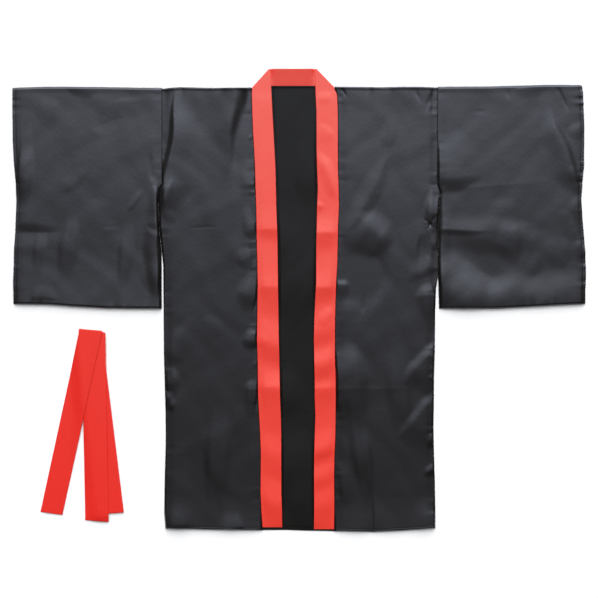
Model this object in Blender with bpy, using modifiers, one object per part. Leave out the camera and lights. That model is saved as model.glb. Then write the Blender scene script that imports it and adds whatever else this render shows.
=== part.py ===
# Happi coat of black satin with a red collar, laid out flat with its front up,
# and its red belt, folded in four and fanned out, beside the left sleeve.
# Left and right are those of someone who looks down on the coat.
# Metres, +Z up: +X runs from sleeve to sleeve, +Y from hem to collar, and z = 0 is
# the surface that it lies on. The origin is there, under the middle of the whole.

import bisect
from collections import namedtuple
from math import cos, hypot, pi

import bmesh
import bpy

MM = 0.001

# ---------------------------------------------------------------- driving dimensions, mm
WALL = 1.0  # one layer of cloth
GAP = 0.3  # between pieces at a seam, and between layers that lie on each other
PITCH = WALL + GAP  # from one layer's underside to the next one's
MAX_LIFT = 7.0  # the most that a fold parts two layers by
AIR_FALL = 34.0  # how far in from a sewn edge the air under a panel is in full
FOLD_FALL = 16.0  # and the folds are

NECKLINE = 484.5  # y of the back neck's seam
ARMHOLE_FOOT = 262.0  # y where a sleeve's seam with the body ends
NECK_TOP = 524.0  # y of the collar's upper fold, behind the neck
BACK_FLAT = 12.0  # how far in from its open strip's edges the back stays flat
CLOSED_RIM = 1.0  # how far in from a sleeve's long edges its ends stay closed
SIDE_TILT = 0.3  # the most z in the normal of a side face
SHARP_ANGLE = pi / 5

# how many cells each piece has across it and up it
BACK_COLUMNS, BACK_ROWS = 22, 44
FRONT_COLUMNS, FRONT_ROWS = 15, 50
SLEEVE_COLUMNS, SLEEVE_ROWS = 18, 28
BAND_COLUMNS, BAND_ROWS, NECK_ROWS = 3, 80, 8
NECK_RAMPS = 6  # the strip behind the neck rises to its seam within a sixth of its length
# (share of the back's columns, share of its width): more of them where it shows
BACK_SPREAD = [(0, 0), (0.14, 0.30), (0.86, 0.67), (1, 1)]
EVEN = [(0, 0), (1, 1)]

# ---------------------------------------------------------------- outlines, mm
# Edges that run up the coat: (y, x)
CUFF_LEFT = [
    (-22, -644.0), (45, -645.5), (68, -644.4), (113, -643.7), (158, -640.6), (203, -638.9),
    (226, -638.0), (249, -639.0), (271, -639.8), (294, -642.3), (317, -644.2), (362, -646.4),
    (430, -647.3), (483, -647.0),
]
SLEEVE_LEFT_INNER = [
    (-22, -310.0), (110, -310.4), (165, -315.8), (225, -317.8), (252, -315.8), (262, -310.8),
    (483, -310.8),
]
BODY_LEFT = [
    (-520, -301.8), (-502, -302.9), (-479, -304.5), (-434, -303.9), (-389, -303.0), (-344, -301.7),
    (-298, -301.0), (-253, -301.6), (-208, -302.7), (-118, -305.2), (-27, -305.8), (80, -306.8),
    (110, -308.4), (165, -311.2), (225, -312.4), (252, -311.2), (262, -310.2), (485, -310.2),
]
BODY_RIGHT = [
    (-520, 308.4), (-479, 308.1), (-412, 307.0), (-344, 305.0), (-287, 303.8), (-231, 304.8),
    (-185, 304.9), (-118, 306.8), (-27, 307.6), (30, 309.8), (60, 311.4), (157, 311.6),
    (243, 314.0), (262, 312.9), (485, 313.6),
]
SLEEVE_RIGHT_INNER = [
    (-22, 316.4), (52, 314.4), (60, 314.3), (157, 314.2), (243, 319.6), (262, 313.5), (488, 314.2),
]
CUFF_RIGHT = [
    (-22, 645.6), (27, 646.4), (50, 647.8), (72, 647.7), (95, 646.9), (140, 644.1),
    (185, 640.0), (231, 637.4), (253, 639.3), (276, 640.5), (298, 643.5), (389, 644.3),
    (434, 642.7), (470, 641.2), (482, 639.6), (488, 637.0),
]
COLLAR_LEFT_OUTER = [
    (-524, -81.8), (-506, -82.8), (-475, -85.2), (-432, -87.0), (-346, -86.3), (-303, -87.8),
    (-217, -92.4), (-131, -93.6), (-88, -95.0), (41, -93.4), (127, -95.4), (213, -96.8),
    (255, -98.4), (298, -99.4), (341, -101.6), (384, -104.2), (427, -105.7), (485, -107.4),
]
COLLAR_LEFT_INNER = [
    (-524, -37.6), (-475, -38.4), (-432, -39.8), (-303, -40.1), (-260, -41.0), (-217, -42.8),
    (-131, -44.3), (-88, -45.6), (41, -47.4), (127, -48.4), (170, -49.5), (213, -51.2),
    (298, -53.1), (341, -55.4), (427, -60.0), (523.4, -65.0),
]
COLLAR_RIGHT_INNER = [
    (-524, 33.6), (-475, 34.3), (-389, 33.9), (-346, 34.3), (-303, 35.5), (-260, 37.0),
    (-217, 35.4), (-174, 35.3), (-88, 33.4), (-45, 34.5), (-2, 36.5), (41, 38.7),
    (127, 39.0), (213, 40.9), (255, 42.6), (298, 40.7), (341, 39.7), (427, 39.4),
    (470, 37.4), (523.4, 36.0),
]
COLLAR_RIGHT_OUTER = [
    (-524, 78.9), (-475, 80.0), (-389, 79.4), (-346, 80.5), (-303, 82.4), (-217, 83.1),
    (-174, 82.9), (-131, 81.2), (-45, 81.5), (41, 84.0), (84, 86.7), (170, 88.4),
    (213, 90.4), (255, 89.7), (298, 88.1), (427, 87.6), (462, 85.6), (485, 81.8),
]
# Edges that run across it: (x, y)
SLEEVE_LEFT_TOP = [
    (-650, 480.5), (-627, 481.2), (-607, 482.0), (-566, 483.2), (-526, 483.3), (-424, 482.3),
    (-383, 481.4), (-300, 480.5),
]
SLEEVE_LEFT_BOTTOM = [
    (-650, -8.4), (-578, -9.2), (-557, -9.9), (-517, -13.2), (-476, -15.7), (-435, -18.0),
    (-395, -18.4), (-300, -19.0),
]
SLEEVE_RIGHT_TOP = [
    (300, 483.2), (370, 483.6), (431, 483.9), (471, 485.2), (512, 486.1), (553, 487.4),
    (594, 487.5), (634, 487.0), (650, 486.6),
]
SLEEVE_RIGHT_BOTTOM = [
    (300, -18.2), (365, -18.8), (447, -18.5), (487, -16.2), (528, -13.9), (569, -11.4),
    (609, -9.4), (650, -7.8),
]
HEM = [
    (-320, -514.4), (-279, -516.2), (-239, -516.6), (-198, -518.0), (-137, -518.8), (-96, -518.9),
    (-35, -518.5), (6, -519.9), (67, -521.0), (107, -521.4), (168, -522.8), (189, -522.0),
    (229, -520.0), (270, -517.2), (309, -514.2), (320, -513.6),
]
SHOULDERS = [
    (-320, 478.4), (-302, 478.9), (-281, 481.2), (-261, 482.4), (-241, 481.7), (-190, 480.6),
    (-107, 481.2), (80, 483.2), (125, 482.9), (187, 482.0), (227, 483.1), (268, 483.1),
    (288, 482.5), (314, 480.8),
]
BACK_TOP = [
    (-320, 477.4), (-302, 477.9), (-281, 480.2), (-261, 481.4), (-241, 480.7), (-190, 479.6),
    (-118, 478.5), (-104, 478.5), (-70, 483.5), (50, 483.5), (80, 478.5), (94, 478.5),
    (187, 481.0), (227, 482.1), (268, 482.1), (288, 481.5), (314, 479.8),
]
COLLAR_END_LEFT, COLLAR_END_RIGHT = -512.5, -516.8  # y of the collar's two squared ends
# Where its slanting folds are, at the shoulders: sewn edge's x and y, free edge's x and y
CORNER_LEFT = (-105.8, NECKLINE - 4.4, -67.0, NECK_TOP - WALL)
CORNER_RIGHT = (80.4, NECKLINE - 4.4, 38.6, NECK_TOP - WALL)

# The belt's showing stretches: corners as (x, y), top left, top right, foot right, foot left
BELT_END_LEFT = [(-495.0, -64.7), (-443.2, -69.4), (-534.7, -484.8), (-584.5, -477.5)]
BELT_END_MIDDLE = [(-490.6, -66.8), (-436.8, -71.4), (-429.6, -500.1), (-483.2, -496.3)]
BELT_LOOP = [(-498.0, -66.5), (-446.1, -71.0), (-395.9, -477.5), (-448.5, -481.0)]
BELT_COLUMNS, BELT_ROWS = 7, 52
LOOP_COLUMNS, LOOP_ROWS = 3, 24
BELT_DROP = 32.0  # how far beside a lower stretch an upper one takes to come down
BELT_SET_BACK = 1.6  # from the outer fold to the ends of the stretches inside it
BELT_FOLD = 5.0  # how far up the belt its folds at either end keep it closed

# ---------------------------------------------------------------- folds, mm
# A ridge (or, with a rise below 0, a trough) from one point to another. left and right are
# how far it falls on the two sides of someone who walks along it, and peak is how far along
# it is highest (0 to 1).
Fold = namedtuple("Fold", "x1 y1 x2 y2 rise left right peak", defaults=(0.5,))
END_FALL = 1.4  # how soon a fold is in full, on from its ends
FRONT_LIFT, SLEEVE_LIFT = 2.3, 2.0  # of the cloth between its folds
FRONT_LEFT_FOLDS = [
    Fold(-266, 500, -317, 170, 5.6, 46, 20),
    Fold(-134, 530, -174, 270, 7.4, 27, 100, 0.2),
    Fold(-130, 152, -94, 164, 2.1, 60, 26, 0.9),
    Fold(-148, 18, -94, 8, 2.6, 60, 40, 0.85),
    Fold(-134, -88, -94, -96, 2.8, 44, 26, 0.9),
    Fold(-130, -195, -92, -201, 2.6, 34, 72, 0.9),
    Fold(-304, -184, -264, -180, 2.3, 42, 60, 0.3),
    Fold(-250, -340, -146, -344, 4.0, 116, 150),
    Fold(-340, -424, -226, -430, 2.8, 170, 80),
]
FRONT_RIGHT_FOLDS = [
    Fold(208, 376, 104, 154, 1.5, 30, 34, 0.6),
    Fold(148, 150, 216, 134, 1.9, 66, 60),
    Fold(90, 160, 180, 156, 2.8, 50, 96),
    Fold(40, 78, 210, 4, -2.4, 92, 100, 0.4),
    Fold(80, 33, 130, 36, 2.0, 42, 34, 0.1),
    Fold(40, -176, 170, -158, 4.8, 80, 120),
    Fold(276, 202, 330, 200, 3.0, 60, 70),
    Fold(264, 158, 300, 156, 1.6, 20, 46),
    Fold(258, -2, 312, 14, 3.2, 34, 90, 0.8),
    Fold(240, -194, 324, -84, 3.0, 26, 150),
    Fold(222, -320, 324, -196, 2.8, 25, 140),
    Fold(190, -205, 262, -200, 2.4, 150, 110),
    Fold(112, -352, 172, -344, 3.0, 104, 110),
    Fold(240, -518, 309, -506, 4.2, 84, 10, 0.8),
]
SLEEVE_LEFT_FOLDS = [
    Fold(-646, 283, -594, 278, 2.8, 84, 66, 0.4),
    Fold(-652, 156, -520, 158, -2.2, 24, 44, 0.15),
    Fold(-474, 386, -388, 415, -0.9, 52, 26),
    Fold(-604, 116, -566, 112, 1.1, 60, 66),
    Fold(-548, 128, -490, 120, 1.9, 74, 80),
    Fold(-412, 104, -368, 100, 1.5, 80, 78),
    Fold(-362, 56, -312, 50, 1.5, 60, 46, 0.9),
    Fold(-680, -30, -280, -30, 6.6, 140, 40),
]
SLEEVE_RIGHT_FOLDS = [
    Fold(334, 446, 338, 268, 1.4, 40, 20),
    Fold(316, 284, 400, 290, 3.0, 140, 46, 0.35),
    Fold(312, 159, 440, 157, 1.6, 46, 15, 0.1),
    Fold(330, 160, 560, 150, 1.4, 40, 60),
    Fold(318, 140, 488, 46, -3.2, 60, 62, 0.6),
    Fold(444, 124, 506, 122, 1.8, 50, 52),
    Fold(280, -8, 690, -6, 6.4, 112, 50),
    Fold(560, 440, 636, 232, 3.0, 22, 44),
    Fold(600, 383, 646, 387, 1.0, 24, 28, 0.8),
    Fold(600, 285, 642, 293, 1.2, 22, 52, 0.8),
    Fold(606, 198, 643, 213, 1.3, 30, 50, 0.9),
    Fold(614, 123, 648, 129, 1.1, 24, 44, 0.9),
]
BACK_FOLDS = [
    Fold(-20, 286, 60, 280, 2.2, 120, 70),
    Fold(-90, 150, 20, 100, 2.4, 90, 80, 0.45),
    Fold(-60, 62, 60, 24, 3.6, 110, 130),
    Fold(-90, -216, 20, -212, 3.0, 84, 60, 0.4),
    Fold(-90, -388, 60, -384, 4.0, 104, 90),
    Fold(-40, -468, 60, -456, 2.8, 70, 60),
]
# Where the collar's bands stand off the back: (y, height)
BAND_LEFT_WAVES = [
    (-512, 0.1), (-456, 4.0), (-402, 1.2), (-348, 3.2), (-300, 0.6), (-196, 4.2), (-142, 0.6),
    (-98, 4.2), (-36, 0.5), (31, 4.0), (132, 1.0), (161, 3.0), (370, 0.3), (480, 0.2),
]
BAND_RIGHT_WAVES = [
    (-516, 0.0), (-462, 3.4), (-424, 1.6), (-398, 3.6), (-362, 0.8), (-337, 4.0), (-285, 0.1),
    (-255, 0.3), (-198, 3.4), (-180, 1.8), (-142, 4.8), (-103, 1.0), (-68, 3.4), (-8, 1.0),
    (29, 4.0), (108, 0.3), (153, 3.0), (200, 0.4), (480, 0.2),
]
SEWN_EDGE_SHARE = 0.45  # how much of a wave the band's sewn edge follows

# ---------------------------------------------------------------- materials
# colour (linear), roughness
BLACK_SATIN = ("black_satin", (0.026, 0.026, 0.030), 0.42)
RED_SATIN = ("red_satin", (0.86, 0.052, 0.036), 0.45)


def along(table, place):
    """The second column of a table at a place in its first, straight between rows."""
    places = [row[0] for row in table]
    after = bisect.bisect_left(places, place)
    if after == 0:
        return table[0][1]
    if after == len(table):
        return table[-1][1]
    (p1, q1), (p2, q2) = table[after - 1], table[after]
    return q1 + (q2 - q1) * (place - p1) / (p2 - p1)


def blend(a, b, share):
    return a + (b - a) * share


def smooth(share):
    share = min(max(share, 0.0), 1.0)
    return share * share * (3.0 - 2.0 * share)


def relief(folds, x, y):
    """How far the folds raise or lower the cloth at a point."""
    total = 0.0
    for fold in folds:
        dx, dy = fold.x2 - fold.x1, fold.y2 - fold.y1
        length = hypot(dx, dy)
        share = ((x - fold.x1) * dx + (y - fold.y1) * dy) / length**2
        within = min(max(share, 0.0), 1.0)
        beside = ((y - fold.y1) * dx - (x - fold.x1) * dy) / length
        full = smooth(min(within / fold.peak, (1 - within) / (1 - fold.peak)) * END_FALL)
        width = (fold.left if beside > 0 else fold.right) * (0.5 + 0.5 * full)
        away = min(hypot(beside, (share - within) * length) / width, 1.0)
        total += fold.rise * full * 0.5 * (1.0 + cos(pi * away))
    return total


def lift(folds, base, inset, x, y):
    """The air under a panel: none at its edges, then its base lift and its folds."""
    air = smooth(inset / AIR_FALL) * base + smooth(inset / FOLD_FALL) * relief(folds, x, y)
    return min(max(air, 0.0), MAX_LIFT)


def slab(columns, rows, place, top, under):
    """A closed solid over a grid: place(u, v) gives x, y and top and under give z, in mm."""
    mesh = bmesh.new()
    bmesh.ops.create_grid(mesh, x_segments=columns, y_segments=rows, size=1.0)
    upper = list(mesh.verts)
    for vert in upper:
        x, y = place((vert.co.x + 1) / 2, (vert.co.y + 1) / 2)
        vert.co = (x, y, top(x, y))
    grown = bmesh.ops.extrude_face_region(mesh, geom=mesh.faces[:] + mesh.edges[:] + upper)
    for vert in (item for item in grown["geom"] if isinstance(item, bmesh.types.BMVert)):
        vert.co.z = under(vert.co.x, vert.co.y)
    bmesh.ops.recalc_face_normals(mesh, faces=mesh.faces)
    return mesh


def open_sides(mesh, is_open):
    """Takes away the upright faces where is_open(x, y) says that two layers part."""
    mesh.normal_update()
    for face in list(mesh.faces):
        middle = face.calc_center_median()
        if abs(face.normal.z) < SIDE_TILT and is_open(middle.x, middle.y):
            mesh.faces.remove(face)


def finish(name, mesh, cloth, wall=False, offset=-1.0):
    """Makes a bmesh in mm an object in metres; with wall, a surface gets one layer's thickness."""
    bmesh.ops.scale(mesh, vec=(MM, MM, MM), verts=mesh.verts)
    data = bpy.data.meshes.new(name)
    mesh.to_mesh(data)
    mesh.free()
    piece = bpy.data.objects.new(name, data)
    coat.objects.link(piece)
    data.materials.append(cloth)
    data.shade_smooth()
    data.set_sharp_from_angle(angle=SHARP_ANGLE)
    if wall:
        shell = piece.modifiers.new("Wall", "SOLIDIFY")
        shell.thickness = WALL * MM
        shell.offset = offset
        shell.use_even_offset = True
    return piece


def satin(name, colour, roughness):
    material = bpy.data.materials.new(name)
    material.use_nodes = True
    shader = material.node_tree.nodes["Principled BSDF"]
    shader.inputs["Base Color"].default_value = (*colour, 1.0)
    shader.inputs["Roughness"].default_value = roughness
    shader.inputs["Metallic"].default_value = 0.0
    return material


def panel_place(left, right, bottom, top, spread):
    """Spreads a grid between two side outlines, (y, x), and two end outlines, (x, y).

    spread says how far across the panel each share of the columns lies.
    """
    low, high = bottom[0][1], top[0][1]

    def place(u, v):
        across = along(spread, u)
        y1 = along(bottom, blend(along(left, low), along(right, low), across))
        y2 = along(top, blend(along(left, high), along(right, high), across))
        y = blend(y1, y2, v)
        return blend(along(left, y), along(right, y), across), y

    return place


def inset_in(left, right, bottom, top):
    """The distance from a point to the nearest edge of a panel."""

    def inset(x, y):
        across = min(x - along(left, y), along(right, y) - x)
        return min(across, y - along(bottom, x), along(top, x) - y)

    return inset


def make_back():
    """The back lies flat on the surface; folds show only in the open strip down its middle."""

    def top(x, y):
        shows = min(x - along(COLLAR_LEFT_INNER, y), along(COLLAR_RIGHT_INNER, y) - x)
        shows = min(shows, along(BACK_TOP, x) - y, y - along(HEM, x)) - BACK_FLAT
        return WALL + smooth(shows / BACK_FLAT) * max(relief(BACK_FOLDS, x, y), 0.0)

    place = panel_place(BODY_LEFT, BODY_RIGHT, HEM, BACK_TOP, BACK_SPREAD)
    mesh = slab(BACK_COLUMNS, BACK_ROWS, place, top, lambda x, y: 0.0)
    finish("back", mesh, black)


def make_front(name, left, right, folds):
    """A front panel lies on the back and comes down on it at its four edges."""
    edges = (left, right, HEM, SHOULDERS)
    inset = inset_in(*edges)
    place = panel_place(*edges, EVEN)

    def under(x, y):
        return PITCH + lift(folds, FRONT_LIFT, inset(x, y), x, y)

    mesh = slab(FRONT_COLUMNS, FRONT_ROWS, place, lambda x, y: under(x, y) + WALL, under)
    finish(name, mesh, black)


def make_sleeve(name, left, right, bottom, top_edge, folds, cuff_side):
    """A sleeve is a flat tube, open at its cuff and its armhole, closed below the armhole."""
    inset = inset_in(left, right, bottom, top_edge)
    place = panel_place(left, right, bottom, top_edge, EVEN)

    def top(x, y):
        return WALL + PITCH + GAP + lift(folds, SLEEVE_LIFT, inset(x, y), x, y)

    mesh = slab(SLEEVE_COLUMNS, SLEEVE_ROWS, place, top, lambda x, y: 0.0)
    middle = (along(left, 0.0) + along(right, 0.0)) / 2

    def is_open(x, y):
        if y > along(top_edge, x) - CLOSED_RIM or y < along(bottom, x) + CLOSED_RIM:
            return False
        at_cuff = (x - middle) * cuff_side > 0
        return at_cuff or y > ARMHOLE_FOOT

    open_sides(mesh, is_open)
    finish(name, mesh, black, wall=True)


def band_stations(outer, inner, end, corner, waves, sewn_gap):
    """Cross-rows of a band, from its end up: (sewn x, y, free x, y, z, wave on z)."""
    for step in range(BAND_ROWS + 1):
        share = step / BAND_ROWS
        y1, y2 = blend(end, corner[1], share), blend(end, corner[3], share)
        x1, x2 = along(outer, y1), along(inner, y2)
        if step == BAND_ROWS:
            x1, x2 = corner[0], corner[2]
        yield (x1 + sewn_gap, y1, x2, y2, PITCH + WALL / 2, along(waves, y1))


def neck_stations():
    """Cross-rows of the strip behind the neck, from the left corner to the right one."""
    for step in range(NECK_ROWS + 1):
        share = step / NECK_ROWS
        arch = smooth(min(share, 1 - share) * NECK_RAMPS)
        yield (
            blend(CORNER_LEFT[0], CORNER_RIGHT[0], share),
            blend(CORNER_LEFT[1], NECKLINE + 2 * GAP, arch),
            blend(CORNER_LEFT[2], CORNER_RIGHT[2], share),
            CORNER_LEFT[3],
            WALL / 2,
            0.0,
        )


def make_collar():
    """One strip: up the left front, turned under at a slanting fold, behind the neck, and back."""
    stations = [
        *band_stations(
            COLLAR_LEFT_OUTER, COLLAR_LEFT_INNER, COLLAR_END_LEFT, CORNER_LEFT, BAND_LEFT_WAVES, GAP / 2
        ),
        *neck_stations(),
        *reversed(
            list(
                band_stations(
                    COLLAR_RIGHT_OUTER, COLLAR_RIGHT_INNER, COLLAR_END_RIGHT, CORNER_RIGHT,
                    BAND_RIGHT_WAVES, -GAP / 2,
                )
            )
        ),
    ]
    steps = len(stations) - 1
    mesh = bmesh.new()
    bmesh.ops.create_grid(mesh, x_segments=BAND_COLUMNS, y_segments=steps, size=1.0)
    for vert in mesh.verts:
        x1, y1, x2, y2, level, wave = stations[round((vert.co.y + 1) / 2 * steps)]
        across = (vert.co.x + 1) / 2
        x, y = blend(x1, x2, across), blend(y1, y2, across)
        flat_at_neck = smooth((NECKLINE - y) / AIR_FALL)
        vert.co = (x, y, level + wave * flat_at_neck * blend(SEWN_EDGE_SHARE, 1.0, smooth(across * 2)))
    finish("collar", mesh, red, wall=True, offset=0.0)


def belt_place(corners, shift=0.0):
    """Spreads a grid over a stretch of the belt; shift sets its top end back."""
    (x1, y1), (x2, y2), (x3, y3), (x4, y4) = corners
    y1, y2 = y1 - shift, y2 - shift

    def place(u, v):
        return (
            blend(blend(x4, x3, u), blend(x1, x2, u), v),
            blend(blend(y4, y3, u), blend(y1, y2, u), v),
        )

    return place


def cover(corners, x, y):
    """1 over a stretch of the belt, going down to 0 beside it."""
    (x1, y1), (x2, y2), (x3, y3), (x4, y4) = corners

    def outside(ax, ay, bx, by):
        return ((by - ay) * (x - ax) - (bx - ax) * (y - ay)) / hypot(bx - ax, by - ay)

    beside = max(outside(x4, y4, x1, y1) * -1, outside(x3, y3, x2, y2), 0.0)
    below = max(outside(x4, y4, x3, y3), 0.0)
    return 1.0 - smooth((hypot(beside, below) - PITCH) / BELT_DROP)


def under_middle(x, y):
    return 2 * PITCH * cover(BELT_LOOP, x, y)


def under_left(x, y):
    return under_middle(x, y) + PITCH * cover(BELT_END_MIDDLE, x, y)


def make_belt():
    """The strip lies in four layers: a loop of two, the middle end on it, the left end on top."""
    place = belt_place(BELT_LOOP, 2 * BELT_SET_BACK)
    loop = slab(LOOP_COLUMNS, LOOP_ROWS, place, lambda x, y: WALL + PITCH, lambda x, y: 0.0)
    # its sides are open between the folds at its two ends
    lowest = BELT_LOOP[2][1] + BELT_FOLD
    highest = BELT_LOOP[0][1] - 3 * BELT_SET_BACK - BELT_FOLD
    open_sides(loop, lambda x, y: lowest < y < highest)
    finish("belt_loop", loop, red, wall=True)

    place = belt_place(BELT_END_MIDDLE, BELT_SET_BACK)
    middle = slab(BELT_COLUMNS, BELT_ROWS, place, lambda x, y: under_middle(x, y) + WALL, under_middle)
    finish("belt_end_middle", middle, red)

    # the outer fold: the left end's last row turns down to the surface
    left = bmesh.new()
    bmesh.ops.create_grid(left, x_segments=BELT_COLUMNS, y_segments=BELT_ROWS + 1, size=1.0)
    place = belt_place(BELT_END_LEFT)
    for vert in left.verts:
        row = (vert.co.y + 1) / 2 * (BELT_ROWS + 1)
        x, y = place((vert.co.x + 1) / 2, min(row / BELT_ROWS, 1.0))
        turned_down = round(row) > BELT_ROWS
        vert.co = (x, y, 0.0 if turned_down else under_left(x, y) + WALL)
    bmesh.ops.recalc_face_normals(left, faces=left.faces)
    finish("belt_end_left", left, red, wall=True)


for stale in list(bpy.data.objects):
    bpy.data.objects.remove(stale)
coat = bpy.data.collections.new("happi_coat")
bpy.context.scene.collection.children.link(coat)
black, red = satin(*BLACK_SATIN), satin(*RED_SATIN)

make_back()
make_front("front_left", BODY_LEFT, [(y, x - GAP) for y, x in COLLAR_LEFT_OUTER], FRONT_LEFT_FOLDS)
make_front("front_right", [(y, x + GAP) for y, x in COLLAR_RIGHT_OUTER], BODY_RIGHT, FRONT_RIGHT_FOLDS)
make_sleeve(
    "sleeve_left", CUFF_LEFT, SLEEVE_LEFT_INNER, SLEEVE_LEFT_BOTTOM, SLEEVE_LEFT_TOP, SLEEVE_LEFT_FOLDS, -1
)
make_sleeve(
    "sleeve_right", SLEEVE_RIGHT_INNER, CUFF_RIGHT, SLEEVE_RIGHT_BOTTOM, SLEEVE_RIGHT_TOP,
    SLEEVE_RIGHT_FOLDS, 1,
)
make_collar()
make_belt()
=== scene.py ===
# Happi coat of black satin with a red collar, laid out flat with its front up,
# and its red belt, folded in four and fanned out, below the left sleeve.
# Left and right are those of someone who looks down on the coat. Sizes are in mm, and
# every mesh is brought to metres when it is finished.

from collections import namedtuple
from math import pi

import bmesh
import bpy
import numpy as np
from mathutils import Matrix, Vector


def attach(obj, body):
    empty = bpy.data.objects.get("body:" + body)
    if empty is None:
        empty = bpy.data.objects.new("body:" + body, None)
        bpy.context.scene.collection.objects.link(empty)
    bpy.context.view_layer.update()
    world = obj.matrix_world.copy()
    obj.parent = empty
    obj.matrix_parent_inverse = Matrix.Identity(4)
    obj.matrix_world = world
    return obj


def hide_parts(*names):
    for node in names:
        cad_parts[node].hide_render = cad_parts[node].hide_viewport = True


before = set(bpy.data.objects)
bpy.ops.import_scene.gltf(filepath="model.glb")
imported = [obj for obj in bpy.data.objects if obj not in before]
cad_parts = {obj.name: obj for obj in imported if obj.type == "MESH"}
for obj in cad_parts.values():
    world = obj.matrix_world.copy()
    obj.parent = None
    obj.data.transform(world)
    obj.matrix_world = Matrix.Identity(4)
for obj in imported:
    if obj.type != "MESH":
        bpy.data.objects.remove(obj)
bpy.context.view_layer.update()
MM = 0.001

# ---------------------------------------------------------------- the surface and the light
# A matt white table under a studio ceiling: a bright soft panel beyond the shoulders, a dim
# field towards the hem, and dark walls on both sides.


def linear(hex_colour):
    """An sRGB hex colour as Blender's linear one, with an alpha of 1."""
    parts = [int(hex_colour[i : i + 2], 16) / 255 for i in (1, 3, 5)]
    return (*[c / 12.92 if c <= 0.04045 else ((c + 0.055) / 1.055) ** 2.4 for c in parts], 1.0)


def node(tree, kind, settings=(), **links):
    """Adds a node with its settings and links; a link to input A B is A_B=..., to input 0 is _0=..."""
    made = tree.nodes.new(kind)
    for name, value in dict(settings).items():
        if isinstance(name, str) and hasattr(made, name):
            setattr(made, name, value)
        else:
            made.inputs[name].default_value = value
    for name, source in links.items():
        socket = made.inputs[int(name[1:]) if name[1:].isdigit() else name.replace("_", " ")]
        tree.links.new(source, socket)
    return made


def matt_white():
    """White laminate: even and matt, so it shows as a plain ground."""
    material = bpy.data.materials.new("matt_white_laminate")
    material.use_nodes = True
    shader = material.node_tree.nodes["Principled BSDF"]
    shader.inputs["Base Color"].default_value = linear("#fafafa")
    shader.inputs["Roughness"].default_value = 0.9
    shader.inputs["Specular IOR Level"].default_value = 0.0
    return material


TABLE_SIDE = 14000.0  # far wider than the coat, so that no edge of it shows from above
TABLE_DROP = 0.4  # below the coat's underside, so that the two don't share a face
bm = bmesh.new()
bmesh.ops.create_grid(bm, x_segments=1, y_segments=1, size=TABLE_SIDE * MM / 2)
bmesh.ops.translate(bm, vec=(0, 0, -TABLE_DROP * MM), verts=bm.verts)
table_mesh = bpy.data.meshes.new("table")
bm.to_mesh(table_mesh)
bm.free()
table_mesh.materials.append(matt_white())
table = bpy.data.objects.new("table", table_mesh)
bpy.context.collection.objects.link(table)

# how bright the ceiling is, by how far a direction leans towards the shoulders (-1 to 1)
CEILING = [
    (-1.0, 0.3), (-0.5, 0.06), (-0.3, 0.16), (-0.2, 0.38), (-0.12, 0.4), (0.0, 0.54), (0.1, 0.98),
    (0.3, 2.45), (0.65, 5.6), (1.0, 4.4),
]
CEILING_MAX = 5.6  # a ramp's colours end at 1, so its levels are shares of this
# and what that is multiplied by, by how far it leans from the left (-1) to the right (1)
SIDEWAYS = [
    (-1.0, 0.06), (-0.62, 0.1), (-0.48, 0.34), (-0.38, 0.74), (-0.28, 1.02), (-0.15, 1.06),
    (0.0, 1.0), (0.1, 1.06), (0.2, 1.22), (0.29, 1.18), (0.38, 0.82), (0.48, 0.4), (0.62, 0.1),
    (1.0, 0.06),
]
SIDEWAYS_MAX = 1.5


def ramp_of(tree, table, highest, leaning):
    """A colour ramp that follows a table of (leaning from -1 to 1, level)."""
    share = node(tree, "ShaderNodeMapRange", {"From Min": -1.0, "From Max": 1.0}, Value=leaning)
    ramp = node(tree, "ShaderNodeValToRGB", Fac=share.outputs[0])
    for place, _ in table[1:-1]:
        ramp.color_ramp.elements.new((place + 1) / 2)
    for element, (place, level) in zip(ramp.color_ramp.elements, table):
        element.position = (place + 1) / 2
        element.color = (level / highest,) * 3 + (1.0,)
    return ramp.outputs["Color"]


world = bpy.data.worlds.new("studio")
bpy.context.scene.world = world
world.use_nodes = True
sky = world.node_tree
sky.nodes.clear()
towards = node(sky, "ShaderNodeTexCoord")
split = node(sky, "ShaderNodeSeparateXYZ", Vector=towards.outputs["Generated"])
by_lean = ramp_of(sky, CEILING, CEILING_MAX, split.outputs["Y"])
by_side = ramp_of(sky, SIDEWAYS, SIDEWAYS_MAX, split.outputs["X"])
both = node(sky, "ShaderNodeMath", {"operation": "MULTIPLY"}, _0=by_lean, _1=by_side)
BRIGHTEST = CEILING_MAX * SIDEWAYS_MAX
total = node(sky, "ShaderNodeMath", {"operation": "MULTIPLY", 1: BRIGHTEST}, _0=both.outputs[0])
ceiling = node(sky, "ShaderNodeBackground", {"Color": linear("#fcfdff")}, Strength=total.outputs[0])
node(sky, "ShaderNodeOutputWorld", Surface=ceiling.outputs[0])

# ---------------------------------------------------------------- the camera
# It looks straight down, from far enough for a flat picture, and the whole coat with its belt
# fills the frame.
FRAME_SIDE = 1352.0  # what the picture shows of the table
CAMERA_HEIGHT = 2400.0
FRAME_CENTRE_Y = 3.4
camera_data = bpy.data.cameras.new("camera")
camera_data.sensor_fit = "HORIZONTAL"
camera_data.lens = camera_data.sensor_width * CAMERA_HEIGHT / FRAME_SIDE
camera = bpy.data.objects.new("camera", camera_data)
camera.location = (0, FRAME_CENTRE_Y * MM, CAMERA_HEIGHT * MM)
bpy.context.collection.objects.link(camera)
bpy.context.scene.camera = camera
bpy.context.scene.view_settings.view_transform = "Standard"

# ---------------------------------------------------------------- the back
# One panel of black polyester satin from shoulder line to hem. It lies on the table with its
# wrong side up, so what shows between the fronts is the duller face of the cloth. A narrow
# double hem is machine-stitched along its foot.

WALL = 1.0  # a layer of cloth, as thick as its hems
GAP = 0.3  # between pieces at a seam, and between layers
PITCH = WALL + GAP
NECKLINE = 484.5
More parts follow.
